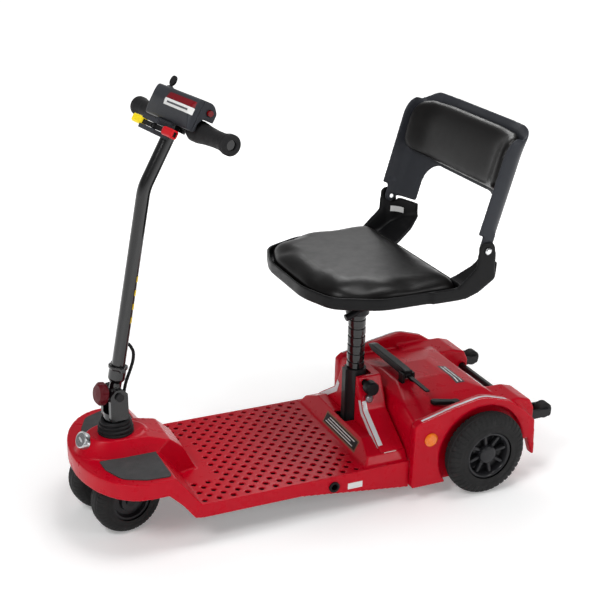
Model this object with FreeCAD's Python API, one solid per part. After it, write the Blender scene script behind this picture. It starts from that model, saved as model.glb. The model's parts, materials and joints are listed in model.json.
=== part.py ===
import FreeCAD, Part
import math
import os

# Folding mobility scooter with a perforated deck, a swivel seat and a tiller, in millimetres.
# Frame: origin on the floor under the middle of the overall box, +X to the rider's left,
# -Y forward, +Z up. The steering is modelled straight and then turned by STEER_REST.

V = FreeCAD.Vector
X_AXIS = V(1, 0, 0)
Y_AXIS = V(0, 1, 0)
Z_AXIS = V(0, 0, 1)

# ---- driving dimensions -------------------------------------------------------------------
GAP = 0.3                  # clearance between pieces that move past each other
RUN = 0.05                 # radial clearance of a running fit
SEATED = 0.02              # radial clearance of a piece that is fixed on its shaft
SKIN = 5.0                 # wall of the moulded shells

DECK_TOP = 100.0
DECK_HALF = 190.0
DECK_FRONT = -343.0
DECK_REAR = 166.0
HOLE_R = 5.6               # drain holes in the deck
HOLE_DX = 17.5             # between rows of holes across the deck
HOLE_DY = 32.5             # between holes of one row
HOLE_MID_Y = -140.0
CHARGER_Y = -22.0
CHARGER_Z = 74.5
CHARGER_R = 9.5
CHARGER_BORE_R = 7.5

STEER_Y = -458.0           # steering axis
STEER_REST = 9.5           # degrees that the bar is turned to the left at rest
STEM_R = 14.0
FRONT_R = 77.0
FRONT_W = 60.0
FRONT_X = 58.0             # wheel centres either side of the fork
FRONT_Y = -467.0
NOSE_TOP = 172.0
NOSE_LOW = 134.0
NOSE_HALF = 186.0
NOSE_MID_Y = -440.0
NOSE_REACH = 118.0         # middle of the nose to its front
DOME_TOP = 208.0

REAR_R = 100.0
REAR_Y = 347.0
TYRE_IN = 194.0
TYRE_OUT = 240.0
RIM_R = 58.0
SHAFT_R = 10.0

PIVOT_Z = 298.0            # tiller fold, straight above the steering axis
TILLER_LEAN = 10.8         # degrees back from upright, lower tube
TILLER_LEAN_TOP = 30.0     # upper tube
BEND_Z = 739.0
TUBE_R = 14.5
BAR_Y = -283.0
BAR_Z = 860.0
BAR_HALF = 196.0
HEAD_LEFT = 98.0           # ends of the control head along the bar
HEAD_RIGHT = -88.0

POST_Y = 118.0             # seat post axis
POST_R = 20.5
POST_NOTCH = 21.0          # between the height notches
SOCKET_TOP = 262.0
PEDESTAL_TOP = 252.0
KNOB_Z = 238.0
SEAT_Z = 490.0             # lowest edge of the seat pan
SEAT_HALF = 221.0
SEAT_FRONT = -66.0
SEAT_REAR = 262.0
BACK_Y = 306.0             # backrest hinge
BACK_Z = 596.0
BACK_LEAN = 16.0
BACK_TALL = 272.0          # hinge to top edge, along the backrest

FENDER_X = 207.0
FENDER_IN = 186.0
ARCH_R = 111.0
TAIL_Y = 494.0
ANTI_TIP_X = 162.0
ANTI_TIP_Y = 539.0
ANTI_TIP_Z = 148.0
ANTI_TIP_R = 19.0


# ---- shape helpers ------------------------------------------------------------------------
def box(x0, x1, y0, y1, z0, z1):
    return Part.makeBox(x1 - x0, y1 - y0, z1 - z0, V(x0, y0, z0))


def rod(start, direction, radius, length):
    return Part.makeCylinder(radius, length, V(*start), V(*direction))


def pipe(start, direction, radius, bore, length):
    return rod(start, direction, radius, length).cut(rod(start, direction, bore, length))


def across(radius, x0, x1, y, z):
    """Cylinder along X."""
    return rod((x0, y, z), (1, 0, 0), radius, x1 - x0)


def corner_wire(points, radii):
    """Closed polygon whose corners are rounded by arcs of the given radii."""
    count = len(points)
    edges = []
    ends = []
    for i in range(count):
        here = points[i]
        back = (points[i - 1] - here).normalize()
        ahead = (points[(i + 1) % count] - here).normalize()
        radius = radii[i] if isinstance(radii, (list, tuple)) else radii
        if radius <= 0:
            ends.append((here, None, here))
            continue
        half = back.getAngle(ahead) / 2
        reach = radius / math.tan(half)
        middle = (back + ahead).normalize()
        centre = here + middle * (radius / math.sin(half))
        ends.append((here + back * reach, centre - middle * radius, here + ahead * reach))
    for i in range(count):
        start, top, stop = ends[i]
        if top is not None:
            edges.append(Part.Arc(start, top, stop).toShape())
        following = ends[(i + 1) % count][0]
        if (following - stop).Length > 1e-6:
            edges.append(Part.LineSegment(stop, following).toShape())
    return Part.Wire(edges)


def prism(points, radii, direction):
    return Part.Face(corner_wire(points, radii)).extrude(direction)


def slab(outline, z0, z1, radii=0):
    """Outline of (x, y) points raised from z0 to z1."""
    return prism([V(x, y, z0) for x, y in outline], radii, V(0, 0, z1 - z0))


def side_prism(outline, x0, x1, radii=0):
    """Outline of (y, z) points stretched along X."""
    return prism([V(x0, y, z) for y, z in outline], radii, V(x1 - x0, 0, 0))


def front_prism(outline, y0, y1, radii=0):
    """Outline of (x, z) points stretched along Y."""
    return prism([V(x, y0, z) for x, z in outline], radii, V(0, y1 - y0, 0))


def lathe(profile, centre, direction):
    """Closed (radius, along) profile turned about an axis that starts at centre."""
    wire = Part.makePolygon([V(r, 0, a) for r, a in profile + profile[:1]])
    shape = Part.Face(wire).revolve(V(0, 0, 0), Z_AXIS, 360)
    turn = FreeCAD.Rotation(Z_AXIS, V(*direction))
    shape.Placement = FreeCAD.Placement(V(*centre), turn)
    return Part.Solid(shape) if shape.ShapeType == "Shell" else shape


def route(points, radii):
    """Open wire of straight runs joined by tangent arcs."""
    edges = []
    start = points[0]
    for i in range(1, len(points) - 1):
        here = points[i]
        back = (points[i - 1] - here).normalize()
        ahead = (points[i + 1] - here).normalize()
        half = back.getAngle(ahead) / 2
        radius = radii[i - 1]
        reach = radius / math.tan(half)
        middle = (back + ahead).normalize()
        centre = here + middle * (radius / math.sin(half))
        enter = here + back * reach
        leave = here + ahead * reach
        edges.append(Part.LineSegment(start, enter).toShape())
        edges.append(Part.Arc(enter, centre - middle * radius, leave).toShape())
        start = leave
    edges.append(Part.LineSegment(start, points[-1]).toShape())
    return Part.Wire(edges)


def bent_rod(points, radii, radius):
    """Round bar that follows a route."""
    path = route(points, radii)
    first = (points[1] - points[0]).normalize()
    ring = Part.Wire(Part.Circle(points[0], first, radius).toShape())
    return path.makePipeShell([ring], True, True)


def ellipse_slab(cx, cy, half_x, half_y, z0, z1):
    """Upright slab with an elliptical outline."""
    long_x = half_x >= half_y
    major, minor = (half_x, half_y) if long_x else (half_y, half_x)
    curve = Part.Ellipse(V(0, 0, 0), major, minor).toShape()
    if not long_x:
        curve.rotate(V(0, 0, 0), Z_AXIS, 90)
    curve.translate(V(cx, cy, z0))
    return Part.Face(Part.Wire(curve)).extrude(V(0, 0, z1 - z0))


def mirrored(shape):
    return shape.mirror(V(0, 0, 0), X_AXIS)


def both(shape):
    """The shape and its mirror image, as separate solids."""
    return [shape, mirrored(shape)]


def tilted(shape, angle, y, z):
    """Turned about an axis along X; positive leans the top towards the rear."""
    turned = shape.copy()
    turned.rotate(V(0, y, z), X_AXIS, -angle)
    return turned


def steered(shape):
    """From the straight-ahead position to the steering's rest position."""
    turned = shape.copy()
    turned.rotate(V(0, STEER_Y, 0), Z_AXIS, STEER_REST)
    return turned


def save(name, shapes):
    solids = []
    for shape in shapes if isinstance(shapes, list) else [shapes]:
        solids += shape.removeSplitter().Solids
    whole = solids[0] if len(solids) == 1 else Part.makeCompound(solids)
    bad = [s for s in solids if not s.isValid()]
    print(f"{name:26s} solids {len(solids):3d} volume {whole.Volume / 1000:9.1f} cm3", "INVALID" if bad else "")
    whole.exportStep(f"parts/{name}.step")


# ---- deck and nose ------------------------------------------------------------------------
RAIL_X = 78.0
RAIL_LOW = 55.0
RAIL_HIGH = 80.0
RAIL_W = 25.0
RAIL_WALL = 2.5
HEAD_LOW = 162.0
HEAD_HIGH = 194.0
HEAD_R = 24.0
BEARING_R = 20.0
AXLE_TUBE_R = 18.0


def rail():
    outer = box(RAIL_X - RAIL_W / 2, RAIL_X + RAIL_W / 2, -322, 418, RAIL_LOW, RAIL_HIGH)
    inner = box(RAIL_X - RAIL_W / 2 + RAIL_WALL, RAIL_X + RAIL_W / 2 - RAIL_WALL, -330, 430,
                RAIL_LOW + RAIL_WALL, RAIL_HIGH - RAIL_WALL)
    return outer.cut(inner)


def main_frame():
    """Two rails with cross members, axle hangers, and a gooseneck up to the head tube."""
    inner_x = RAIL_X - RAIL_W / 2
    frame = rail().fuse(mirrored(rail()))
    for y in (-322, -100, 40, 190, 393):
        frame = frame.fuse(box(-inner_x, inner_x, y, y + 25, RAIL_LOW + 3, RAIL_HIGH - 3))
    neck_outline = [(-322, RAIL_LOW + 3), (-297, RAIL_LOW + 3), (-297, 84), (-318, 104), (-392, 184),
                    (-438, 188), (-438, 163), (-404, 163), (-340, 90)]
    neck = side_prism(neck_outline, -22, 22)
    head = rod((0, STEER_Y, HEAD_LOW), (0, 0, 1), HEAD_R, HEAD_HIGH - HEAD_LOW)
    bore = rod((0, STEER_Y, HEAD_LOW - 5), (0, 0, 1), BEARING_R + SEATED, HEAD_HIGH - HEAD_LOW + 10)
    hangers = both(box(RAIL_X - 5, RAIL_X + 5, REAR_Y - 22, REAR_Y + 22, RAIL_HIGH - 2, REAR_R + 24))
    frame = frame.fuse([neck, head] + hangers).cut(bore)
    return frame.cut(across(AXLE_TUBE_R + SEATED, -100, 100, REAR_Y, REAR_R))


def head_bearings():
    tall = 11.0
    low = pipe((0, STEER_Y, HEAD_LOW), (0, 0, 1), BEARING_R, STEM_R + RUN, tall)
    high = pipe((0, STEER_Y, HEAD_HIGH - tall), (0, 0, 1), BEARING_R, STEM_R + RUN, tall)
    return [low, high]


def deck_hole_centres():
    """Staggered rows: a row at every HOLE_DX, alternate rows shifted by half a pitch."""
    centres = []
    for row in range(-10, 11):
        count = 12 if row % 2 == 0 else 11
        for k in range(count):
            along = (k - (count - 1) / 2) * HOLE_DY
            centres.append((row * HOLE_DX, HOLE_MID_Y + along))
    return centres


def deck_holes():
    """All holes but those that the spine covers."""
    holes = []
    for x, y in deck_hole_centres():
        if y < -262 and abs(x) < 95:
            continue
        holes.append(rod((x, y, DECK_TOP - 2 * SKIN), (0, 0, 1), HOLE_R, 4 * SKIN))
    return Part.makeCompound(holes)


def nose_body(inset):
    """Nose platform, dome, spine and ramp; inset shrinks the outside all round."""
    half = NOSE_HALF - inset
    top = NOSE_TOP - inset
    low = 20.0 if inset else NOSE_LOW
    front = ellipse_slab(0, NOSE_MID_Y, half, NOSE_REACH - inset, low, top)
    front = front.common(box(-200, 200, -600, NOSE_MID_Y, 0, 300))
    middle = box(-half, half, NOSE_MID_Y, -385, low, top)
    foot = 20.0 if inset else 68.0
    heel = 20.0 if inset else 106.0
    ramp = side_prism([(-400, low), (-400, top), (-385 - inset, top), (-330 - inset, DECK_TOP - inset),
                       (-330 - inset, foot), (-343, foot), (-372, heel)], -half, half)
    rings = []
    for z, half_x, half_y in ((top - 6, 66, 94), (190 - inset, 56, 80), (DOME_TOP - inset, 46, 64)):
        ring = Part.Ellipse(V(0, 0, 0), half_y - inset, half_x - inset).toShape()
        ring.rotate(V(0, 0, 0), Z_AXIS, 90)
        ring.translate(V(0, STEER_Y, z))
        rings.append(Part.Wire(ring))
    dome = Part.makeLoft(rings, True)
    spine = side_prism([(STEER_Y, 120), (STEER_Y, DOME_TOP - inset), (-400 - inset, 206 - inset),
                        (-353 - inset, 192 - inset), (-322 - inset, 164 - inset), (-292 - inset, 106 - inset),
                        (-288 - inset, DECK_TOP - 2), (-330, DECK_TOP - 2)], -80, 80)
    plan = [(inset - 66, STEER_Y - 1), (inset - 66, -392), (inset - 48, -336), (inset - 34, -280),
            (34 - inset, -280), (48 - inset, -336), (66 - inset, -392), (66 - inset, STEER_Y - 1)]
    flanks = [(inset - 68, 90), (inset - 66, top - 6), (inset - 56, 190 - inset), (inset - 46, DOME_TOP - inset),
              (46 - inset, DOME_TOP - inset), (56 - inset, 190 - inset), (66 - inset, top - 6), (68 - inset, 90)]
    spine = spine.common(slab(plan, 90, 300)).common(front_prism(flanks, STEER_Y - 1, -270))
    return front.fuse([middle, ramp, dome, spine])


def riser_body(inset):
    """Raised platform in front of the rear body, with a sloping front and sides."""
    side = side_prism([(58 + inset, DECK_TOP - 4), (80 + inset, 140 - inset), (DECK_REAR, 140 - inset),
                       (DECK_REAR, DECK_TOP - 4)], -190, 190)
    front = front_prism([(inset - 182, DECK_TOP - 4), (inset - 168, 119 - inset), (inset - 118, 140 - inset),
                         (118 - inset, 140 - inset), (168 - inset, 119 - inset), (182 - inset, DECK_TOP - 4)],
                        50, DECK_REAR)
    return side.common(front)


def deck_shell():
    """One moulding: perforated tread, skirts that deepen to the rear, nose, spine and riser."""
    outline = [(DECK_HALF, DECK_REAR), (DECK_HALF, DECK_FRONT), (-DECK_HALF, DECK_FRONT), (-DECK_HALF, DECK_REAR)]
    inner_half = DECK_HALF - SKIN
    inner = [(inner_half, DECK_REAR + 5), (inner_half, DECK_FRONT + SKIN), (-inner_half, DECK_FRONT + SKIN),
             (-inner_half, DECK_REAR + 5)]
    block = slab(outline, 30, DECK_TOP, [0, 16, 16, 0])
    below = side_prism([(-400, 20), (-400, 68), (-95, 66), (DECK_REAR, 33), (DECK_REAR + 20, 20)], -200, 200)
    inside = slab(inner, 20, DECK_TOP - SKIN, [0, 11, 11, 0])
    shell = block.cut(below).fuse([nose_body(0), riser_body(0)])
    shell = shell.cut(inside).cut(nose_body(SKIN)).cut(riser_body(SKIN))
    shell = shell.cut(rod((0, STEER_Y, 150), (0, 0, 1), HEAD_R + 3, 100))
    shell = shell.cut(box(-23, 23, -352, -300, 85, 105))
    shell = shell.cut(box(-POST_R - 8, POST_R + 8, POST_Y - POST_R - 16, POST_Y + POST_R + 8, 60, 150))
    shell = shell.cut(across(CHARGER_R + SEATED, DECK_HALF - 8, DECK_HALF + 2, CHARGER_Y, CHARGER_Z))
    return shell.cut(deck_holes())


def foot_pads():
    """Grip pads that lie on the nose platform either side of the spine."""
    outline = [(60, -512), (98, -510), (148, -488), (170, -443), (175, -389), (60, -389)]
    pad = slab(outline, NOSE_TOP, NOSE_TOP + 2.5, [0, 20, 34, 30, 10, 0])
    return both(pad.cut(nose_body(0)))


def nose_badge():
    """Plain oval plate on the front of the dome."""
    plate = ellipse_slab(0, 0, 27, 17, -14, 4)
    plate.rotate(V(0, 0, 0), X_AXIS, 62)
    plate.translate(V(0, STEER_Y - 71, 196))
    return plate.cut(nose_body(0))


# ---- pedestal and seat post ---------------------------------------------------------------
def seat_post_socket():
    """Upright tube welded to a foot plate, open at the top for the post."""
    tube = rod((0, POST_Y, RAIL_LOW), (0, 0, 1), POST_R + 4.5, SOCKET_TOP - RAIL_LOW)
    bar = box(-9, 9, POST_Y - POST_R - 9, POST_Y - POST_R, RAIL_HIGH, SOCKET_TOP)
    inner_x = RAIL_X - RAIL_W / 2
    foot = box(-inner_x, inner_x, POST_Y - 30, POST_Y + 30, RAIL_LOW, RAIL_LOW + 5)
    bore = rod((0, POST_Y, RAIL_LOW + 8), (0, 0, 1), POST_R + RUN, 300)
    knob_hole = across(5.0 + RUN, 0, 60, POST_Y + 4, KNOB_Z)
    return tube.fuse([bar, foot]).cut(bore).cut(knob_hole)


def pedestal_outline(inset):
    return [(inset - 168, 100), (inset - 168, 119), (inset - 158, 127 - inset / 2), (inset - 74, 182 - inset / 2),
            (inset - 39, PEDESTAL_TOP - inset), (39 - inset, PEDESTAL_TOP - inset), (74 - inset, 182 - inset / 2),
            (158 - inset, 127 - inset / 2), (168 - inset, 119), (168 - inset, 100)]


def pedestal_cover():
    """Cover that flares from the post to the platform and leaves the post's front bare."""
    y0, y1 = POST_Y - 14, DECK_REAR - 1
    cover = front_prism(pedestal_outline(0), y0, y1)
    cover = cover.cut(front_prism(pedestal_outline(SKIN), y0 + 4, y1 - 4))
    cover = cover.cut(box(-29, 29, y0 - 5, POST_Y + 28, 80, 300))
    cover = cover.cut(riser_body(0)).cut(box(-200, 200, 90, 200, 90, 100.2))
    knob_room = across(8, 0, 80, POST_Y + 4, KNOB_Z)
    bolt_room = across(5, 0, 80, POST_Y + 4, KNOB_Z - 30)
    return cover.cut(knob_room).cut(bolt_room)


def pedestal_bolt():
    """Clamp bolt through the left side of the cover into the socket tube."""
    shank = across(4.9, POST_R + 4.6, 66.5, POST_Y + 4, KNOB_Z - 30)
    head = lathe([(0, 0), (9, 0), (9, 4), (6, 7), (0, 7)], (66.5, POST_Y + 4, KNOB_Z - 30), (1, 0, 0))
    return shank.fuse(head)


def post_lock_knob():
    """Spring pin that is pulled out to free the post."""
    pin = across(5.0, POST_R + GAP, 57, POST_Y + 4, KNOB_Z)
    grip = lathe([(0, 0), (9, 0), (9, 5), (16.5, 9), (16.5, 26), (14, 30), (0, 30)],
                 (55.5, POST_Y + 4, KNOB_Z), (1, 0, 0))
    return pin.fuse(grip)


def seat_post():
    """Round post with height notches, a blind foot and a spigot for the swivel."""
    low = 120.0
    top = 396.0
    post = rod((0, POST_Y, low), (0, 0, 1), POST_R, top - low)
    groove = pipe((0, POST_Y, 0), (0, 0, 1), POST_R + 2, POST_R - 2.2, 7)
    notch = low + 10
    while notch < top - 12:
        cutter = groove.copy()
        cutter.translate(V(0, 0, notch))
        post = post.cut(cutter)
        notch += POST_NOTCH
    spigot = rod((0, POST_Y, top), (0, 0, 1), 14, 60)
    return post.fuse(spigot)


# ---- rear body ----------------------------------------------------------------------------
REAR_LOW = 36.0
ARM_X = (ANTI_TIP_X - 22, ANTI_TIP_X + 15)    # inner faces of the two anti-tip arms
ARM_W = 7.0
LIFT_BAR_R = 8.0
LIFT_BAR_Y = 478.0
LIFT_BAR_Z = 156.0
LEVER_X = 42.0             # release lever pivot
LEVER_Z = 238.0
LEVER_POST_Y = 216.0
FREE_X = 166.0             # freewheel lever pivot
FREE_Y = 292.0
FREE_Z = 206.5
FREE_SHAFT_R = 5.0


def rear_profile(inset):
    """Side outline of the rear body between the wheels, as (y, z)."""
    low = 20.0 if inset else REAR_LOW
    return [(DECK_REAR + 0.5 + inset, low), (DECK_REAR + 4 + inset, 176 - inset), (178 + inset, 210 - inset),
            (205, 226 - inset), (330, 226 - inset), (402 - inset, 210 - inset), (432 - inset, 176 - inset),
            (436 - inset, 96), (424 - inset, 52), (424 - inset, low)]


def rear_crown(inset):
    """Front view of the rear body: the top falls from the middle to the fenders."""
    half = FENDER_IN + 4 - inset
    low = 20.0 if inset else REAR_LOW
    outline = [(-half, low), (-half, 194 - inset), (-117, 213 - inset), (-43, 226 - inset), (43, 226 - inset),
               (117, 213 - inset), (half, 194 - inset), (half, low)]
    return front_prism(outline, 150, 460, [0, 4, 60, 60, 60, 60, 4, 0])


def fender():
    """Arch over the left wheel with a flat side in front and a skirt behind."""
    crest = [(DECK_REAR + 0.5, REAR_LOW), (DECK_REAR + 1, 190), (180, 201), (264, 223), (340, 237), (404, 218),
             (452, 186), (TAIL_Y - 6, 150), (TAIL_Y, 60), (TAIL_Y - 8, 60), (470, 108), (300, REAR_LOW)]
    solid = side_prism(crest, FENDER_IN, FENDER_X, [0, 6, 10, 60, 70, 50, 30, 10, 0, 0, 0, 0])
    arch = rod((FENDER_IN + 4, REAR_Y - 2, REAR_R), (1, 0, 0), ARCH_R, 60)
    below = box(FENDER_IN + 4, 260, REAR_Y - 87, REAR_Y + 112, -10, REAR_R)
    return solid.cut(arch).cut(below)


def tail_block(inset):
    """Block behind the body that carries the left anti-tip bracket."""
    outline = [(330, 120 - 2 * inset), (330, 205 - inset), (452, 205 - inset), (482 - inset, 196 - inset),
               (TAIL_Y - inset, 172), (TAIL_Y - inset, 120 - 2 * inset)]
    return side_prism(outline, 104 + inset, FENDER_IN + 4 - inset, [0, 0, 10, 8, 8, 0])


def rear_shell():
    """Rear moulding: body between the wheels, fenders and tail blocks, open underneath."""
    half = FENDER_IN + 4
    body = side_prism(rear_profile(0), -half, half, [0, 6, 14, 20, 60, 20, 14, 6, 0, 0]).common(rear_crown(0))
    inside = side_prism(rear_profile(SKIN), SKIN - half, half - SKIN).common(rear_crown(SKIN))
    shell = body.fuse(both(fender()) + both(tail_block(0)))
    shell = shell.cut(inside)
    for cutter in both(tail_block(SKIN)) + both(across(13, 150, 260, REAR_Y, REAR_R)):
        shell = shell.cut(cutter)
    for x in ARM_X:
        for slot in both(box(x - 0.5, x + ARM_W + 0.5, TAIL_Y - 12, TAIL_Y + 4, 134, 162)):
            shell = shell.cut(slot)
    for slot in both(across(LIFT_BAR_R + 1, 96, 116, LIFT_BAR_Y, LIFT_BAR_Z)):
        shell = shell.cut(slot)
    for y in (LEVER_POST_Y, LEVER_POST_Y + 26):
        shell = shell.cut(box(LEVER_X - 10.5, LEVER_X + 10.5, y - 0.5, y + 6.5, 205, 240))
    for passage in both(box(RAIL_X - RAIL_W / 2 - 1, RAIL_X + RAIL_W / 2 + 1, 150, 185, 20, RAIL_HIGH + 1)):
        shell = shell.cut(passage)
    return shell.cut(rod((FREE_X, FREE_Y, 180), (0, 0, 1), FREE_SHAFT_R + RUN, 60))


def reflective_stripes():
    """Thin strips on the fenders' outer edges and on the pedestal's flanks."""
    band = side_prism([(182, 203.2), (264, 225), (340, 239), (340, 231), (264, 217), (182, 195.2)],
                      FENDER_X - 8, FENDER_X - 2, [0, 60, 0, 0, 60, 0]).cut(fender())
    flank = front_prism([(76, 188), (164, 127), (156, 127), (68, 182)], POST_Y - 16, POST_Y - 14)
    return both(band) + both(flank)


def side_reflectors():
    lens = lathe([(0, 0), (16, 0), (16, 3), (12, 6), (0, 7)], (FENDER_X, 208, 154), (1, 0, 0))
    return both(lens)


def charger_socket():
    """Round socket in the deck's side, with a bezel and a blind bore for the plug."""
    body = lathe([(0, 0), (CHARGER_R, 0), (CHARGER_R, 19), (12.5, 19), (12.5, 22), (0, 22)],
                 (DECK_HALF - 19, CHARGER_Y, CHARGER_Z), (1, 0, 0))
    return body.cut(across(CHARGER_BORE_R, DECK_HALF - 13, DECK_HALF + 4, CHARGER_Y, CHARGER_Z))


def battery_packs():
    return both(box(6, 62, 200, 292, 84, 190))


def controller():
    return box(16, 116, 360, 420, 130, 165)


def drive_motor():
    """Can motor beside the gear housing, on the right."""
    can = across(34, -160, -60, REAR_Y - 4, 160)
    shaft = across(6, -60.5, -48, REAR_Y - 4, 160)
    return can.fuse(shaft)


def transaxle():
    """Gear housing and the axle tube that the two half shafts turn in."""
    case = side_prism([(REAR_Y - 44, 84), (REAR_Y - 44, 160), (REAR_Y - 24, 196), (REAR_Y + 18, 196),
                       (REAR_Y + 44, 150), (REAR_Y + 44, 84)], -59, -6, 8)
    axle_tube = across(AXLE_TUBE_R, -176, 176, REAR_Y, REAR_R)
    bore = across(SHAFT_R + RUN, -190, 190, REAR_Y, REAR_R)
    shaft_room = across(6 + SEATED, -60, -46, REAR_Y - 4, 160)
    return case.fuse(axle_tube).cut(bore).cut(shaft_room)


def rear_lift_bar():
    """Bar across the rear for lifting, welded to the two anti-tip brackets."""
    bar = across(LIFT_BAR_R, -ARM_X[0] - 2, ARM_X[0] + 2, LIFT_BAR_Y, LIFT_BAR_Z)
    arms = []
    for x in ARM_X:
        arm = side_prism([(437, 136), (437, 160), (ANTI_TIP_Y + 9, 157), (ANTI_TIP_Y + 9, 139)], x, x + ARM_W, 6)
        arms += both(arm)
    pins = both(across(5, ARM_X[0], ARM_X[1] + ARM_W, ANTI_TIP_Y, ANTI_TIP_Z))
    ties = both(box(ARM_X[0], ARM_X[1] + ARM_W, 437, 443, 132, 160))
    return bar.fuse(arms + pins + ties)


def anti_tip_roller():
    x0 = ARM_X[0] + ARM_W + GAP
    wide = ARM_X[1] - GAP - x0
    tread = ANTI_TIP_R
    return lathe([(5 + RUN, 0), (tread - 4, 0), (tread, 5), (tread, wide - 5), (tread - 4, wide), (5 + RUN, wide)],
                 (x0, ANTI_TIP_Y, ANTI_TIP_Z), (1, 0, 0))


def release_lever():
    """Long handle across the rear body's top; its right end turns up to free the rear section."""
    y0, y1 = LEVER_POST_Y + 6.4, LEVER_POST_Y + 25.6
    bar = front_prism([(-140, 246), (-120, 252), (30, 254), (LEVER_X + 10, 252), (LEVER_X + 8, 233),
                       (30, 234), (-120, 236)], y0, y1, [0, 10, 20, 0, 0, 20, 10])
    tongue = front_prism([(LEVER_X, 238), (LEVER_X, 242), (142, 242), (142, 238)], y0 + 4, y1 - 4)
    lever = bar.fuse(tongue)
    return lever.cut(rod((LEVER_X, y0 - 5, LEVER_Z), (0, 1, 0), 5 + RUN, 40))


def release_pivot():
    """Two ears and the pin that the release lever turns on, fixed to the rear body."""
    ears = []
    for y in (LEVER_POST_Y, LEVER_POST_Y + 26):
        ears.append(box(LEVER_X - 10, LEVER_X + 10, y, y + 6, 208, LEVER_Z + 8))
    pin = rod((LEVER_X, LEVER_POST_Y, LEVER_Z), (0, 1, 0), 5, 32)
    plate = box(LEVER_X - 10, LEVER_X + 10, LEVER_POST_Y, LEVER_POST_Y + 32, 208, 212)
    return plate.fuse(ears + [pin])


def freewheel_lever():
    """Small lever on top of the rear body that frees the drive wheels."""
    shaft = rod((FREE_X, FREE_Y, FREE_Z - 24), (0, 0, 1), FREE_SHAFT_R, 26)
    hub = rod((FREE_X, FREE_Y, FREE_Z), (0, 0, 1), 10, 12)
    arm = slab([(FREE_X - 7, FREE_Y), (FREE_X - 27, FREE_Y - 42), (FREE_X - 25, FREE_Y - 52),
                (FREE_X - 16, FREE_Y - 53), (FREE_X - 10, FREE_Y - 48), (FREE_X + 7, FREE_Y)],
               FREE_Z + 3, FREE_Z + 12, [0, 8, 3, 3, 8, 0])
    return hub.fuse([shaft, arm])


# ---- wheels -------------------------------------------------------------------------------
def tyre(radius, bead, x0, x1, y, z):
    """Tyre with a rounded tread, between x0 and x1."""
    wide = x1 - x0
    shoulder = wide * 0.24
    drop = radius * 0.07
    profile = [(bead, wide * 0.08), (bead + 5, 0), (radius - 2.4 * drop, 0), (radius - drop, shoulder * 0.45),
               (radius, shoulder * 1.5), (radius, wide - shoulder * 1.5), (radius - drop, wide - shoulder * 0.45),
               (radius - 2.4 * drop, wide), (bead + 5, wide), (bead, wide * 0.92)]
    return lathe(profile, (x0, y, z), (1, 0, 0))


def rim(bead, bore, x0, x1, y, z, dish):
    """Rim with a dished outer face, on the +X side."""
    wide = x1 - x0
    profile = [(bore, 0), (bead, 0), (bead, wide), (bead - 6, wide), (bead - 9, wide - dish), (24, wide - dish),
               (21, wide - 2), (bore, wide - 2)]
    return lathe(profile, (x0, y, z), (1, 0, 0))


def rear_tyre():
    return tyre(REAR_R, RIM_R, TYRE_IN, TYRE_OUT, REAR_Y, REAR_R)


def rear_rim():
    body = rim(RIM_R - SEATED, SHAFT_R + SEATED, TYRE_IN + 5, TYRE_OUT - 2, REAR_Y, REAR_R, 12)
    for k in range(8):
        window = rod((TYRE_OUT - 22, REAR_Y, REAR_R + 36), (1, 0, 0), 7, 30)
        window.rotate(V(0, REAR_Y, REAR_R), X_AXIS, 360 / 8 * k)
        body = body.cut(window)
    return body


def axle_shaft():
    """Half shaft that turns in the transaxle and carries the left wheel."""
    return across(SHAFT_R, 4, TYRE_OUT - 4, REAR_Y, REAR_R)


def front_tyre():
    x0 = FRONT_X - FRONT_W / 2
    return tyre(FRONT_R, 44, x0, x0 + FRONT_W, FRONT_Y, FRONT_R)


def front_rim():
    x0 = FRONT_X - FRONT_W / 2
    return rim(44 - SEATED, 8 + RUN, x0 + 2, x0 + FRONT_W - 4, FRONT_Y, FRONT_R, 10)


# ---- steering -----------------------------------------------------------------------------
def steering_stem():
    """Shaft through the head tube, with the fork blade between the wheels."""
    shaft = rod((0, STEER_Y, 150), (0, 0, 1), STEM_R, 96)
    collar = rod((0, STEER_Y, 150), (0, 0, 1), 21, 9.5)
    blade = side_prism([(STEER_Y - 20, 158), (STEER_Y + 20, 158), (STEER_Y + 12, 60), (FRONT_Y - 22, 60)],
                       -18, 18, [0, 0, 10, 10])
    stem = shaft.fuse([collar, blade])
    return stem.cut(across(8 + SEATED, -30, 30, FRONT_Y, FRONT_R))


def front_axle():
    reach = FRONT_X + FRONT_W / 2 - 5.7
    axle = across(8, -reach, reach, FRONT_Y, FRONT_R)
    caps = []
    for side in (1, -1):
        caps.append(rod((side * reach, FRONT_Y, FRONT_R), (side, 0, 0), 11, 4))
    return axle.fuse(caps)


def steering_boot():
    """Ridged rubber collar over the top of the head tube."""
    base = DOME_TOP + GAP + 0.2
    profile = [(STEM_R + SEATED, 0), (39, 0), (39, 4), (36, 6), (38.5, 9), (38.5, 12), (34.5, 14.5), (36, 17.5),
               (36, 20.5), (32, 22.5), (33.5, 25), (33.5, 28), (31, 31), (27, 31), (27, 20), (STEM_R + SEATED, 20)]
    return lathe(profile, (0, STEER_Y, base), (0, 0, 1))


CLEVIS_LOW = 231.5
CLEVIS_HALF = 25.0
PIN_R = 6.0
KNOB_BACK = 22.0           # pivot to the back of the lock knob


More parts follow.
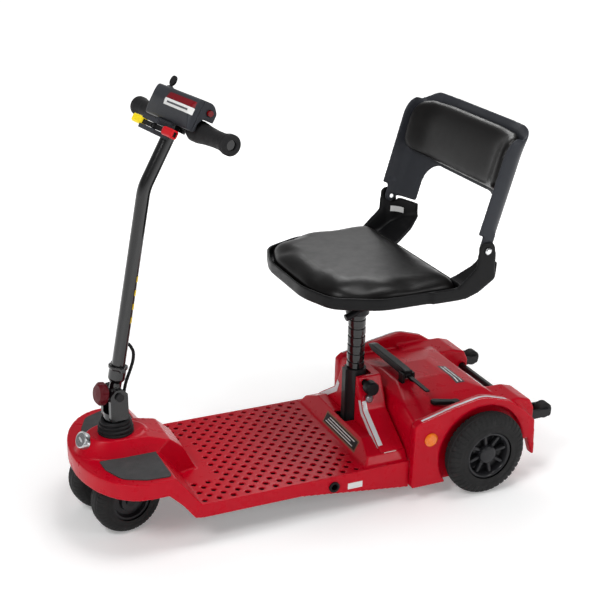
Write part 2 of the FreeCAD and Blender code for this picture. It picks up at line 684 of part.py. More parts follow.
def tiller_clevis():
    """Fork on top of the steering stem that the tiller folds in."""
    base = rod((0, STEER_Y, CLEVIS_LOW), (0, 0, 1), CLEVIS_HALF, 26)
    ears = []
    for x0 in (-CLEVIS_HALF, 14.5):
        ear = side_prism([(STEER_Y - 21, CLEVIS_LOW + 10), (STEER_Y - 20, PIVOT_Z + 4), (STEER_Y - 8, PIVOT_Z + 16),
                          (STEER_Y + 8, PIVOT_Z + 16), (STEER_Y + 20, PIVOT_Z + 4), (STEER_Y + 21, CLEVIS_LOW + 10)],
                         x0, x0 + CLEVIS_HALF - 14.5, 6)
        ears.append(ear)
    fork = base.fuse(ears)
    fork = fork.cut(rod((0, STEER_Y, 200), (0, 0, 1), STEM_R + SEATED, 46 + SEATED))
    return fork.cut(across(PIN_R + SEATED, -40, 40, STEER_Y, PIVOT_Z))


def tiller_pivot_pin():
    pin = across(PIN_R, -28, 28, STEER_Y, PIVOT_Z)
    heads = [across(9, 25.1, 30, STEER_Y, PIVOT_Z), across(9, -30, -25.1, STEER_Y, PIVOT_Z)]
    return pin.fuse(heads)


def tiller_knuckle():
    """Block in the fork, with a socket for the tube and a front boss for the lock knob."""
    barrel = across(17, -14.2, 14.2, STEER_Y, PIVOT_Z)
    neck = rod((0, STEER_Y, PIVOT_Z), (0, 0, 1), 13, 34)
    socket = lathe([(0, 26), (13, 26), (18.5, 34), (18.5, 56), (21, 58), (21, 64), (0, 64)],
                   (0, STEER_Y, PIVOT_Z), (0, 0, 1))
    ears = box(-27, 27, STEER_Y - 5, STEER_Y + 5, PIVOT_Z + 54, PIVOT_Z + 64)
    boss = rod((0, STEER_Y, PIVOT_Z), (0, -1, 0), 9, KNOB_BACK)
    block = barrel.fuse([neck, socket, ears, boss])
    block = block.cut(rod((0, STEER_Y, PIVOT_Z + 36), (0, 0, 1), TUBE_R + SEATED, 60))
    block = block.cut(rod((0, STEER_Y - KNOB_BACK - 1, PIVOT_Z), (0, 1, 0), 4 + RUN, 14))
    block = block.cut(across(PIN_R + RUN, -20, 20, STEER_Y, PIVOT_Z))
    return tilted(block, TILLER_LEAN, STEER_Y, PIVOT_Z)


def tiller_lock_knob():
    """Round lobed knob on the front of the knuckle."""
    start = STEER_Y - KNOB_BACK - GAP
    knob = lathe([(0, 0), (21, 0), (25, 4), (25, 13), (19, 19), (0, 20)], (0, start, PIVOT_Z), (0, -1, 0))
    for k in range(6):
        flute = rod((0, start + 2, PIVOT_Z + 30.5), (0, -1, 0), 9, 24)
        flute.rotate(V(0, STEER_Y, PIVOT_Z), Y_AXIS, 60 * k)
        knob = knob.cut(flute)
    knob = knob.fuse(rod((0, start - 1, PIVOT_Z), (0, 1, 0), 4, 11))
    return tilted(knob, TILLER_LEAN, STEER_Y, PIVOT_Z)


def tube_line(z):
    """Point on the lower tube's axis at height z."""
    return V(0, STEER_Y + (z - PIVOT_Z) * math.tan(math.radians(TILLER_LEAN)), z)


def head_axis(distance):
    """Point on the upper tube's axis, measured up from the bend."""
    bend = tube_line(BEND_Z)
    lean = math.radians(TILLER_LEAN_TOP)
    return bend + V(0, math.sin(lean), math.cos(lean)) * distance


def tiller_tube():
    lean = math.radians(TILLER_LEAN)
    low = V(0, STEER_Y, PIVOT_Z) + V(0, math.sin(lean), math.cos(lean)) * 36.2
    return bent_rod([low, tube_line(BEND_Z), head_axis(150)], [90], TUBE_R)


def on_head(shape):
    """From an upright drawing at the origin to the tiller head, leaned with the upper tube."""
    placed = shape.copy()
    placed.rotate(V(0, 0, 0), X_AXIS, -TILLER_LEAN_TOP)
    placed.translate(V(0, BAR_Y, BAR_Z))
    return placed


def handlebar():
    """Steel bar across the head, with the clamp that holds it on the tube."""
    bar = across(11, -BAR_HALF + 4, BAR_HALF - 4, 0, 0)
    clamp = box(-22, 22, -15, TUBE_OFFSET + TUBE_R + 5, -18, 13)
    bar = bar.fuse(clamp)
    bar = bar.cut(rod((0, TUBE_OFFSET, -40), (0, 0, 1), TUBE_R + SEATED, 120))
    return on_head(bar)


def head_offset():
    """How far the upper tube's axis lies behind the bar's axis, in the head's own frame."""
    lean = math.radians(TILLER_LEAN_TOP)
    away = head_axis(0) - V(0, BAR_Y, BAR_Z)
    return away.y * math.cos(lean) - away.z * math.sin(lean)


TUBE_OFFSET = head_offset()


def grip():
    """Rubber grip with an inner bulge, a waist and an end flange; left side."""
    length = 148.0
    profile = [(11 + SEATED, 0), (20, 0), (23, 8), (23, 26), (19.5, 56), (17.5, 90), (17.5, 116), (20, 130),
               (21.5, 136), (21.5, 146), (19, length), (11 + SEATED, length)]
    return on_head(lathe(profile, (BAR_HALF - length, 0, 0), (1, 0, 0)))


HEAD_SPLIT_Y = -34.0
HORN_Y, HORN_Z, HORN_R = -14.0, 40.0, 6.0
KEY_X, KEY_Y, KEY_R = -66.0, -24.0, 4.0
THROTTLE_Y = -58.0         # middle of the throttle lever, in front of the bar and under it
THROTTLE_Z = -28.0
THROTTLE_PAD_X = 65.0
THROTTLE_PIN_R = 4.0


def head_block(inset):
    """Outside of the control head: a rounded box above and in front of the bar."""
    outline = [(-44 + inset, -8 + inset), (-54 + inset, 32), (-44 + inset, 58 - inset), (-12, 60 - inset),
               (6 - inset, 42), (6 - inset, 24.5 + inset), (-20, 24.5 + inset), (-28 - inset, 12),
               (-28 - inset, -8 + inset)]
    block = side_prism(outline, HEAD_RIGHT + inset, HEAD_LEFT - inset, [5, 20, 12, 18, 12, 4, 4, 6, 4])
    corner = 26 - inset
    plan = [(HEAD_RIGHT + inset, -54 + inset), (HEAD_RIGHT + inset, 6 - inset), (HEAD_LEFT - inset, 6 - inset),
            (HEAD_LEFT - inset, -54 + inset)]
    return block.common(slab(plan, -20, 90, [corner, 8, 8, corner]))


def head_housing():
    """Rear half of the control head, with the lock and the horn button's hole."""
    half = head_block(0).cut(head_block(4)).cut(box(-150, 150, -70, HEAD_SPLIT_Y, -20, 120))
    half = half.cut(across(HORN_R + GAP, HEAD_LEFT - 10, HEAD_LEFT + 10, HORN_Y, HORN_Z))
    barrel = pipe((KEY_X, KEY_Y, 40), (0, 0, 1), KEY_R + 3, KEY_R + RUN, 22)
    half = half.cut(rod((KEY_X, KEY_Y, 38), (0, 0, 1), KEY_R + 1, 40)).fuse(barrel)
    return on_head(half.cut(rod((0, TUBE_OFFSET, -20), (0, 0, 1), TUBE_R + SEATED, 62)))


def head_cover():
    """Front half of the control head, which carries the label."""
    front = box(-150, 150, -70, HEAD_SPLIT_Y - SEATED, -20, 120)
    cover = head_block(0).cut(head_block(4)).common(front)
    return on_head(cover.cut(rod((0, TUBE_OFFSET, -20), (0, 0, 1), TUBE_R + SEATED, 62)))


def ignition_key():
    """Key with a round bow, standing in the lock on top of the head."""
    blade = rod((KEY_X, KEY_Y, 44), (0, 0, 1), KEY_R, 20)
    bow = rod((KEY_X, KEY_Y - 2, 74), (0, 1, 0), 11, 4)
    return on_head(blade.fuse(bow))


def horn_button():
    button = across(HORN_R, HEAD_LEFT - 8, HEAD_LEFT + 5, HORN_Y, HORN_Z)
    flange = across(HORN_R + 2, HEAD_LEFT - 10, HEAD_LEFT - 8, HORN_Y, HORN_Z)
    return on_head(button.fuse(flange))


def throttle_housing():
    """Block under the front of the head, with a slot right through for the lever."""
    y0, y1 = THROTTLE_Y - 16, THROTTLE_Y + 22
    block = box(-31, 31, y0, y1, THROTTLE_Z - 15, THROTTLE_Z + 15)
    block = block.cut(box(-40, 40, y0 - 5, y1 + 5, THROTTLE_Z - 6, THROTTLE_Z + 6))
    pin = rod((0, THROTTLE_Y, THROTTLE_Z - 10), (0, 0, 1), THROTTLE_PIN_R, 20)
    hanger = box(-31, 31, -44, -36, THROTTLE_Z + 10, -8 - SEATED)
    block = block.fuse([pin, hanger])
    return on_head(block.cut(rod((0, TUBE_OFFSET, -90), (0, 0, 1), TUBE_R + GAP, 180)))


def throttle_lever():
    """Flat bar that rocks about a pin in the housing."""
    reach = THROTTLE_PAD_X + 18
    y, z = THROTTLE_Y, THROTTLE_Z
    bar = box(-reach, reach, y - 4, y + 4, z - 5, z + 5)
    boss = rod((0, y, z - 5), (0, 0, 1), 9, 10)
    return on_head(bar.fuse(boss).cut(rod((0, y, z - 10), (0, 0, 1), THROTTLE_PIN_R + RUN, 30)))


def throttle_pads():
    """Forward and reverse thumb pads that slip over the ends of the lever."""
    pads = []
    y, z = THROTTLE_Y, THROTTLE_Z
    for x in (-THROTTLE_PAD_X, THROTTLE_PAD_X):
        pad = box(x - 22, x + 22, y - 8, y + 8, z - 9, z + 9)
        pad = pad.makeFillet(5, pad.Edges)
        slot = box(x - 60, x + 60, y - 4 - SEATED, y + 4 + SEATED, z - 5 - SEATED, z + 5 + SEATED)
        pads.append(on_head(pad.cut(slot)))
    return pads


CABLE_R = 3.5
CABLE_POINTS = [V(0, -430, 412), V(0, -417, 400), V(0, -409, 382), V(0, -412, 360), V(0, -421, 338),
                V(0, -430, 317), V(0, -435, 297), V(0, -436, 280), V(0, -439, 266)]


def control_cable():
    """Sheathed cable out of the tube, down behind the knuckle and in between the fork's ears."""
    radii = []
    for before, here, after in zip(CABLE_POINTS, CABLE_POINTS[1:], CABLE_POINTS[2:]):
        short = min((here - before).Length, (after - here).Length)
        turn = math.pi - (before - here).getAngle(after - here)
        radii.append(0.45 * short / math.tan(turn / 2))
    print("cable radii", [round(r, 1) for r in radii])
    return bent_rod(CABLE_POINTS, radii, CABLE_R)


# ---- seat and backrest --------------------------------------------------------------------
def seat_frame():
    """Swivel hub and the steel plate that carries the seat pan."""
    hub = rod((0, POST_Y, 397), (0, 0, 1), 27, 60)
    plate = slab([(-80, POST_Y - 80), (80, POST_Y - 80), (80, POST_Y + 90), (-80, POST_Y + 90)], 478, 484, 12)
    web = side_prism([(POST_Y - 60, 478), (POST_Y + 70, 478), (POST_Y + 30, 420), (POST_Y - 26, 420)], -30, 30)
    frame = hub.fuse([plate, web])
    frame = frame.cut(rod((0, POST_Y, 390), (0, 0, 1), 14 + RUN, 67))
    return frame.cut(across(4 + RUN, 10, 80, POST_Y + 18, 436))


def seat_swivel_lever():
    """Lever under the seat that frees the swivel; it turns about its own shaft."""
    shaft = across(4, 28.5, 52, POST_Y + 18, 436)
    arm = rod((48, POST_Y + 18, 436), (0, -0.94, -0.34), 5, 58)
    tip = rod((48, POST_Y + 18 - 48, 436 - 17.4), (0, -0.94, -0.34), 8, 26)
    return shaft.fuse([arm, tip])


def seat_outline(inset):
    half = SEAT_HALF - inset
    front = SEAT_FRONT + inset
    return [(half - 131, front), (half - 46, front + 30), (half, front + 126), (half, SEAT_REAR - inset),
            (-half, SEAT_REAR - inset), (-half, front + 126), (46 - half, front + 30), (131 - half, front)]


SEAT_RADII = [150, 60, 100, 26, 26, 100, 60, 150]
SEAT_INNER_RADII = [145, 55, 95, 21, 21, 95, 55, 145]
HINGE_R = 5.0
CHEEK_HALF = 227.0
BACK_HALF = 220.5


def bucket(half, rear, thick, z0, z1):
    """Upright wall around the sides and the rear; rear is measured from the hinge axis."""
    front = BACK_Y - 30
    outer = [(-half, front), (-half, BACK_Y + rear - 28), (-130, BACK_Y + rear), (130, BACK_Y + rear),
             (half, BACK_Y + rear - 28), (half, front)]
    inner_half = half - thick
    inner_rear = BACK_Y + rear - thick
    inner = [(-inner_half, front - 20), (-inner_half, inner_rear - 28), (-130, inner_rear), (130, inner_rear),
             (inner_half, inner_rear - 28), (inner_half, front - 20)]
    wall = slab(outer, z0, z1, [0, 40, 240, 240, 40, 0])
    return wall.cut(slab(inner, z0 - 1, z1 + 1, [0, 40 - thick, 240 - thick, 240 - thick, 40 - thick, 0]))


def seat_pan():
    """Moulded pan with a rim, and a cheek on each side that rises to the backrest hinge."""
    pan = slab(seat_outline(0), SEAT_Z, SEAT_Z + 30, SEAT_RADII)
    pan = pan.cut(slab(seat_outline(5), SEAT_Z + 6, SEAT_Z + 35, SEAT_INNER_RADII))
    floor = slab(seat_outline(40), SEAT_Z - 5.8, SEAT_Z + 3, 30)
    cheek_outline = [(176, SEAT_Z), (250, SEAT_Z), (292, SEAT_Z + 12), (330, SEAT_Z + 38),
                     (358, SEAT_Z + 78), (364, BACK_Z - 6),
                     (BACK_Y + 22, BACK_Z - 6), (BACK_Y + 20, BACK_Z + 10), (BACK_Y + 12, BACK_Z + 20),
                     (BACK_Y - 12, BACK_Z + 20), (BACK_Y - 22, BACK_Z + 10), (BACK_Y - 24, BACK_Z - 34),
                     (238, SEAT_Z + 30), (176, SEAT_Z + 30)]
    side = side_prism(cheek_outline, CHEEK_HALF - 6, CHEEK_HALF)
    side = side.common(box(0, 300, 0, BACK_Y + 24, 0, 700))
    wrap = bucket(CHEEK_HALF, 52, 6, SEAT_Z + 30, BACK_Z - 6).common(side_prism(cheek_outline, 150, 240))
    wrap = wrap.common(box(0, 300, SEAT_REAR, 400, 0, 700)).cut(across(22.5, 190, 221, BACK_Y, BACK_Z))
    web_outline = [(SEAT_REAR - 4, SEAT_Z), (292, SEAT_Z + 12), (330, SEAT_Z + 38), (352, SEAT_Z + 68),
                   (344, SEAT_Z + 68), (326, SEAT_Z + 45), (288, SEAT_Z + 19), (SEAT_REAR - 4, SEAT_Z + 8)]
    web = side_prism(web_outline, 110, CHEEK_HALF)
    web = web.common(slab([(110, 230), (150, 366), (200, 352), (CHEEK_HALF, 330), (CHEEK_HALF, 230)], 400, 700))
    pan = pan.fuse([floor] + both(side) + both(wrap) + both(web))
    for cutter in both(across(HINGE_R + SEATED, 190, 260, BACK_Y, BACK_Z)):
        pan = pan.cut(cutter)
    return pan


def backrest_bolts():
    """Hinge bolts through the cheeks and the backrest's ears."""
    bolt = across(HINGE_R, BACK_HALF - 14, CHEEK_HALF, BACK_Y, BACK_Z)
    head = lathe([(0, 0), (7.5, 0), (7.5, 3), (5, 5), (0, 5)], (CHEEK_HALF, BACK_Y, BACK_Z), (1, 0, 0))
    return both(bolt.fuse(head))


def seat_cushion():
    low = SEAT_Z + 6.3
    base = slab(seat_outline(5.4), low, low + 26, SEAT_INNER_RADII)
    crown = slab(seat_outline(16), low + 26, low + 44, [130, 45, 84, 20, 20, 84, 45, 130])
    return base.fuse(crown)


def leaned(shape):
    return tilted(shape, BACK_LEAN, BACK_Y, BACK_Z)


def back_shell():
    """Backrest shell that wraps forward at the sides, with an opening under the pad and hinge ears."""
    z_top = BACK_Z + BACK_TALL
    half = BACK_HALF
    outline = front_prism([(-half - 1, BACK_Z + 2), (-half - 1, z_top), (half + 1, z_top), (half + 1, BACK_Z + 2)],
                          BACK_Y - 80, BACK_Y + 120, [0, 72, 72, 0])
    opening = front_prism([(-152, BACK_Z - 20), (-152, BACK_Z + 108), (152, BACK_Z + 108), (152, BACK_Z - 20)],
                          BACK_Y - 80, BACK_Y + 120, [0, 52, 52, 0])
    skin = bucket(half, 47, 7, BACK_Z + 2, z_top).common(outline).cut(opening)
    side = side_prism([(BACK_Y - 14, BACK_Z - 4), (BACK_Y - 8, BACK_Z - 14), (BACK_Y + 8, BACK_Z - 14),
                       (BACK_Y + 14, BACK_Z - 4), (BACK_Y + 14, BACK_Z + 40), (BACK_Y - 14, BACK_Z + 40)],
                      half - 12, half)
    heel = box(0, 240, BACK_Y - 80, BACK_Y - 13, BACK_Z - 20, BACK_Z + 26)
    shell = skin
    brow = box(-240, 240, BACK_Y - 40, BACK_Y + 35, z_top - 65, z_top + 10)
    brow = brow.cut(across(65, -241, 241, BACK_Y + 35, z_top - 65))
    shell = shell.cut(brow)
    for cutter in both(heel):
        shell = shell.cut(cutter)
    shell = shell.fuse(both(side))
    for cutter in both(across(HINGE_R + RUN, 190, 240, BACK_Y, BACK_Z)):
        shell = shell.cut(cutter)
    below = box(-240, 240, BACK_Y + 17, BACK_Y + 120, BACK_Z - 60, BACK_Z - 3)
    return leaned(shell).cut(below)


def back_cushion():
    """Pad in the upper part of the shell, its ends wrapped forward along the wings."""
    low, high = BACK_Z + 116, BACK_Z + BACK_TALL - 14
    front, rear = BACK_Y - 28, BACK_Y + 39.6
    half = BACK_HALF - 7.4
    plan = [(-half, front), (-half, BACK_Y + 11.7), (-130, rear), (130, rear), (half, BACK_Y + 11.7), (half, front),
            (190, front), (150, BACK_Y + 2), (-150, BACK_Y + 2), (-190, front)]
    pad = slab(plan, low, high, [6, 34, 234, 234, 34, 6, 10, 60, 60, 10])
    outline = front_prism([(-half - 1, low), (-half - 1, high), (half + 1, high), (half + 1, low)], BACK_Y - 80,
                          BACK_Y + 120, [40, 64, 64, 40])
    brow = box(-240, 240, BACK_Y - 40, front + 56, high - 56, high + 10)
    brow = brow.cut(across(56, -241, 241, front + 56, high - 56))
    return leaned(pad.common(outline).cut(brow))


# ---- all nodes ----------------------------------------------------------------------------
def main():
    os.makedirs("parts", exist_ok=True)
    save("main_frame", main_frame())
    save("head_bearings", head_bearings())
    save("deck_shell", deck_shell())
    save("foot_pads", foot_pads())
    save("nose_badge", nose_badge())
    save("seat_post_socket", seat_post_socket())
    save("pedestal_cover", pedestal_cover())
    save("pedestal_bolt", pedestal_bolt())
    save("rear_shell", rear_shell())
    save("reflective_stripes", reflective_stripes())
    save("side_reflectors", side_reflectors())
    save("charger_socket", charger_socket())
    save("battery_packs", battery_packs())
    save("controller", controller())
    save("drive_motor", drive_motor())
    save("transaxle", transaxle())
    save("release_pivot", release_pivot())
    save("rear_lift_bar", rear_lift_bar())
    save("post_lock_knob", post_lock_knob())
    save("seat_post", seat_post())
    save("release_lever", release_lever())
    save("freewheel_lever", freewheel_lever())
    for name, make in (("rear_tyre", rear_tyre), ("rear_rim", rear_rim), ("axle_shaft", axle_shaft),
                       ("anti_tip_roller", anti_tip_roller)):
        save(name + "_left", make())
        save(name + "_right", mirrored(make()))
    for name, make in (("front_tyre", front_tyre), ("front_rim", front_rim), ("grip", grip)):
        save(name + "_left", steered(make()))
        save(name + "_right", steered(mirrored(make())))
    for make in (steering_stem, front_axle, steering_boot, tiller_clevis, tiller_pivot_pin, tiller_knuckle,
                 tiller_lock_knob, tiller_tube, control_cable, handlebar, head_housing, head_cover,
                 ignition_key, horn_button, throttle_housing, throttle_lever):
        save(make.__name__, steered(make()))
    save("throttle_pads", [steered(pad) for pad in throttle_pads()])
    for make in (seat_frame, seat_swivel_lever, seat_pan, seat_cushion, backrest_bolts, back_shell, back_cushion):
        save(make.__name__, make())


main()
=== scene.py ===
"""Looks of the mobility scooter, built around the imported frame.

Metres, +Z up, -Y forward, +X rider's left.
"""

import json
import math

import bpy
from mathutils import Matrix, Vector
from mathutils.bvhtree import BVHTree


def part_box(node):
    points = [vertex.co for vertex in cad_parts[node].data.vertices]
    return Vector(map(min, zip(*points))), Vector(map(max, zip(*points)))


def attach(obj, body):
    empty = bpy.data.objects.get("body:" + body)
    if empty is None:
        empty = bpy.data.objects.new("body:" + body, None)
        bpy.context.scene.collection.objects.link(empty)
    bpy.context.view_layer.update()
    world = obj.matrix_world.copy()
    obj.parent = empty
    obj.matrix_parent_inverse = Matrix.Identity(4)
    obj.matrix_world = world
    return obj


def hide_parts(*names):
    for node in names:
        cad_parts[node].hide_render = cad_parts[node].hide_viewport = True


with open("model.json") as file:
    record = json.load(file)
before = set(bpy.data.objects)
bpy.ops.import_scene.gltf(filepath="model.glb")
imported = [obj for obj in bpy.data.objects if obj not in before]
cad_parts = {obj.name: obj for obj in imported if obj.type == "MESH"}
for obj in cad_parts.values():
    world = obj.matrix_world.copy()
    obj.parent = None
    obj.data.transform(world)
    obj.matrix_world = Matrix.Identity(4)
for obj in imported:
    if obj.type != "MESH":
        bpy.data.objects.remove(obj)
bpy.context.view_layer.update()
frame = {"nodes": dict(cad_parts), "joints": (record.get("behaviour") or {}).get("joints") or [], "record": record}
NODES = frame["nodes"]
JOINTS = {joint["name"]: joint for joint in frame["joints"]}
MM = 0.001
DOWN = Vector((0, 0, -1))
STEER_REST = math.radians(9.5)      # the tiller is stored turned to the left
TILLER_LEAN = math.radians(10.8)    # lower tube, back from upright
BACK_LEAN = math.radians(16)
BACK_HALF = 0.2205                  # half width of the backrest shell
BACK_TALL = 0.272                   # hinge to top edge, along the backrest
THROTTLE_FORWARD = 58 * MM          # throttle pivot from the bar, in the head's axes
THROTTLE_DOWN = 28 * MM


# ---- places taken from the frame -----------------------------------------------------------
def head_frame():
    """Origin on the bar and the axes of the control head: along the bar, rearwards, along the tube."""
    across = -Vector(JOINTS["horn_press"]["axis"]).normalized()
    along = Vector(JOINTS["key_turn"]["axis"]).normalized()
    rear = along.cross(across)
    origin = Vector(JOINTS["throttle_rock"]["pos_m"]) + THROTTLE_FORWARD * rear + THROTTLE_DOWN * along
    return origin, across, rear, along


def head_point(x, y, z):
    """A point of the head, given in its own axes in millimetres."""
    origin, across, rear, along = head_frame()
    return origin + MM * (x * across + y * rear + z * along)


# ---- materials -----------------------------------------------------------------------------
def noise(tree, coords, scale, detail=4.0, roughness=0.55):
    node = tree.nodes.new("ShaderNodeTexNoise")
    node.inputs["Scale"].default_value = scale
    node.inputs["Detail"].default_value = detail
    node.inputs["Roughness"].default_value = roughness
    tree.links.new(coords, node.inputs["Vector"])
    return node.outputs["Fac"]


def cells(tree, coords, scale):
    node = tree.nodes.new("ShaderNodeTexVoronoi")
    node.feature = "SMOOTH_F1"
    node.inputs["Scale"].default_value = scale
    tree.links.new(coords, node.inputs["Vector"])
    return node.outputs["Distance"]


def spread(tree, value, low, high):
    node = tree.nodes.new("ShaderNodeMapRange")
    node.inputs["From Min"].default_value = 0.3
    node.inputs["From Max"].default_value = 0.7
    node.inputs["To Min"].default_value = low
    node.inputs["To Max"].default_value = high
    tree.links.new(value, node.inputs["Value"])
    return node.outputs["Result"]


def blend_colours(tree, factor, low, high):
    node = tree.nodes.new("ShaderNodeMix")
    node.data_type = "RGBA"
    tree.links.new(factor, node.inputs["Factor"])
    for socket, colour in (("A", low), ("B", high)):
        if hasattr(colour, "node"):
            tree.links.new(colour, node.inputs[6 if socket == "A" else 7])
        else:
            node.inputs[6 if socket == "A" else 7].default_value = (*colour, 1)
    return node.outputs[2]


def bump(tree, height, distance, below=None):
    node = tree.nodes.new("ShaderNodeBump")
    node.inputs["Distance"].default_value = distance
    tree.links.new(height, node.inputs["Height"])
    if below:
        tree.links.new(below, node.inputs["Normal"])
    return node.outputs["Normal"]


def surface(name, colour, rough, metal=0.0, coat=0.0, mottle=0.1, grain=900.0, depth=0.00015,
            edge=0.0008, dust=0.0, pattern="noise", specular=0.14):
    """Shader with colour and roughness that vary, a fine relief, rounded edges and some settled dust."""
    made = bpy.data.materials.new(name)
    made.use_nodes = True
    tree = made.node_tree
    shader = tree.nodes["Principled BSDF"]
    coords = tree.nodes.new("ShaderNodeTexCoord").outputs["Object"]
    broad = noise(tree, coords, 14.0)
    fine = cells(tree, coords, grain) if pattern == "cells" else noise(tree, coords, grain, 2.0)
    low = [c * (1 - mottle) for c in colour]
    high = [min(1.0, c * (1 + mottle)) for c in colour]
    tint = blend_colours(tree, spread(tree, broad, 0.0, 1.0), low, high)
    if dust:
        speck = spread(tree, noise(tree, coords, 55.0, 8.0, 0.7), 0.0, dust)
        tint = blend_colours(tree, speck, tint, (0.30, 0.28, 0.26))
    tree.links.new(tint, shader.inputs["Base Color"])
    tree.links.new(spread(tree, noise(tree, coords, 40.0, 6.0), rough * 0.82, min(1.0, rough * 1.18)),
                   shader.inputs["Roughness"])
    shader.inputs["Metallic"].default_value = metal
    shader.inputs["Coat Weight"].default_value = coat
    shader.inputs["Coat Roughness"].default_value = 0.06
    shader.inputs["Specular IOR Level"].default_value = specular
    rounded = tree.nodes.new("ShaderNodeBevel")
    rounded.samples = 4
    rounded.inputs["Radius"].default_value = edge
    wave = bump(tree, broad, depth, rounded.outputs["Normal"])
    tree.links.new(bump(tree, fine, depth, wave), shader.inputs["Normal"])
    return made


LOOKS = {
    "red_gloss": surface("red_gloss", (0.47, 0.0004, 0.012), 0.30, coat=0.05, mottle=0.04, grain=1400,
                         depth=0.00003, edge=0.002, specular=0.13),
    "grey_pad": surface("grey_pad", (0.055, 0.056, 0.058), 0.8, grain=1100, depth=0.0006,
                        pattern="cells", dust=0.06),
    "black_shell": surface("black_shell", (0.006, 0.006, 0.0065), 0.36, grain=2200, depth=0.00006,
                           edge=0.0015),
    "grey_shell": surface("grey_shell", (0.030, 0.032, 0.038), 0.34, grain=2200, depth=0.00006,
                          edge=0.0015),
    "frame_black": surface("frame_black", (0.011, 0.011, 0.012), 0.42, coat=0.2, grain=800, depth=0.00006),
    "tube_black": surface("tube_black", (0.003, 0.003, 0.0035), 0.17, coat=0.5, grain=900, depth=0.00002,
                          specular=0.4),
    "steel": surface("steel", (0.30, 0.31, 0.33), 0.38, metal=1.0, grain=1500, depth=0.00003, mottle=0.15),
    "chrome": surface("chrome", (0.70, 0.71, 0.72), 0.14, metal=1.0, grain=900, depth=0.00002),
    "tyre": surface("tyre", (0.012, 0.012, 0.0125), 0.6, grain=700, depth=0.0002, dust=0.03),
    "rim": surface("rim", (0.016, 0.016, 0.018), 0.34, coat=0.25, grain=900, depth=0.00005),
    "vinyl": surface("vinyl", (0.0040, 0.0036, 0.0036), 0.35, grain=620, depth=0.00010,
                     pattern="cells", edge=0.002, specular=0.22),
    "grip": surface("grip", (0.012, 0.012, 0.013), 0.66, grain=500, depth=0.0003, pattern="cells", dust=0.02),
    "boot": surface("boot", (0.009, 0.009, 0.010), 0.5, grain=700, depth=0.0001, dust=0.02),
    "cable": surface("cable", (0.006, 0.006, 0.007), 0.45, grain=700, depth=0.00008),
    "knob_red": surface("knob_red", (0.085, 0.004, 0.008), 0.4, grain=900, depth=0.00006),
    "knob_black": surface("knob_black", (0.007, 0.007, 0.008), 0.38, grain=900, depth=0.00006, edge=0.0015),
    "pad_yellow": surface("pad_yellow", (0.86, 0.66, 0.01), 0.35, grain=1200, depth=0.00004),
    "pad_red": surface("pad_red", (0.50, 0.006, 0.012), 0.33, grain=1200, depth=0.00004),
    "button_red": surface("button_red", (0.16, 0.002, 0.004), 0.3, coat=0.4, grain=1200, depth=0.00003),
    "badge": surface("badge", (0.50, 0.51, 0.52), 0.3, metal=1.0, grain=1000, depth=0.00002),
    "badge_centre": surface("badge_centre", (0.012, 0.014, 0.022), 0.22, coat=0.8, grain=1000,
                            depth=0.00002),
    "stripe": surface("stripe", (0.66, 0.67, 0.69), 0.25, coat=0.4, grain=1800, depth=0.00006,
                      pattern="cells"),
    "lens": surface("lens", (0.80, 0.17, 0.004), 0.2, coat=0.8, grain=450, depth=0.0006, pattern="cells"),
    "battery": surface("battery", (0.02, 0.02, 0.022), 0.5),
    "motor": surface("motor", (0.035, 0.035, 0.04), 0.4, metal=0.3),
    "casting": surface("casting", (0.28, 0.28, 0.30), 0.5, metal=0.9, depth=0.0003, grain=500),
}
LABEL_WHITE = surface("label_white", (0.70, 0.70, 0.69), 0.4, mottle=0.03)
LABEL_BLACK = surface("label_black", (0.008, 0.008, 0.009), 0.35)
LABEL_GREY = surface("label_grey", (0.07, 0.07, 0.08), 0.35)
LABEL_BROWN = surface("label_brown", (0.22, 0.09, 0.05), 0.4)
LABEL_RED = surface("label_red", (0.16, 0.003, 0.008), 0.35)
LABEL_YELLOW = surface("label_yellow", (0.80, 0.56, 0.02), 0.4)


def finish_nodes():
    """Gives every CAD node the look of its material slot."""
    for part in frame["record"]["subparts"]:
        mesh = NODES[part["node"]].data
        mesh.materials.clear()
        mesh.materials.append(LOOKS[part["material_slot"]])
    NODES["tiller_pivot_pin"].data.materials[0] = LOOKS["frame_black"]


# ---- mesh helpers --------------------------------------------------------------------------
def new_piece(name, mesh, look, body, replaced=()):
    """Links a mesh as a piece that rides on a body and stands for the replaced nodes."""
    piece = bpy.data.objects.new(name, mesh)
    bpy.context.scene.collection.objects.link(piece)
    mesh.materials.clear()
    mesh.materials.append(look)
    for polygon in mesh.polygons:
        polygon.use_smooth = True
    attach(piece, body)
    if replaced:
        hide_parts(*replaced)
    return piece


def mesh_from(name, points, faces):
    mesh = bpy.data.meshes.new(name)
    mesh.from_pydata([tuple(p) for p in points], [], faces)
    mesh.update()
    return mesh


def evaluated(mesh, *settings):
    """The mesh after a stack of modifiers, each given as (kind, {property: value})."""
    carrier = bpy.data.objects.new("carrier", mesh)
    bpy.context.scene.collection.objects.link(carrier)
    for kind, values in settings:
        modifier = carrier.modifiers.new(kind, kind)
        for key, value in values.items():
            setattr(modifier, key, value)
    graph = bpy.context.evaluated_depsgraph_get()
    made = bpy.data.meshes.new_from_object(carrier.evaluated_get(graph))
    bpy.data.objects.remove(carrier)
    return made


def soften(node, voxel, rounds, keep=1.0):
    """Moulded version of a CAD node: remeshed, its edges rounded by smoothing."""
    steps = [("REMESH", {"mode": "VOXEL", "voxel_size": voxel, "use_smooth_shade": True}),
             ("SMOOTH", {"factor": 0.5, "iterations": rounds})]
    if keep < 1.0:
        steps.append(("DECIMATE", {"ratio": keep}))
    return evaluated(NODES[node].data.copy(), *steps)


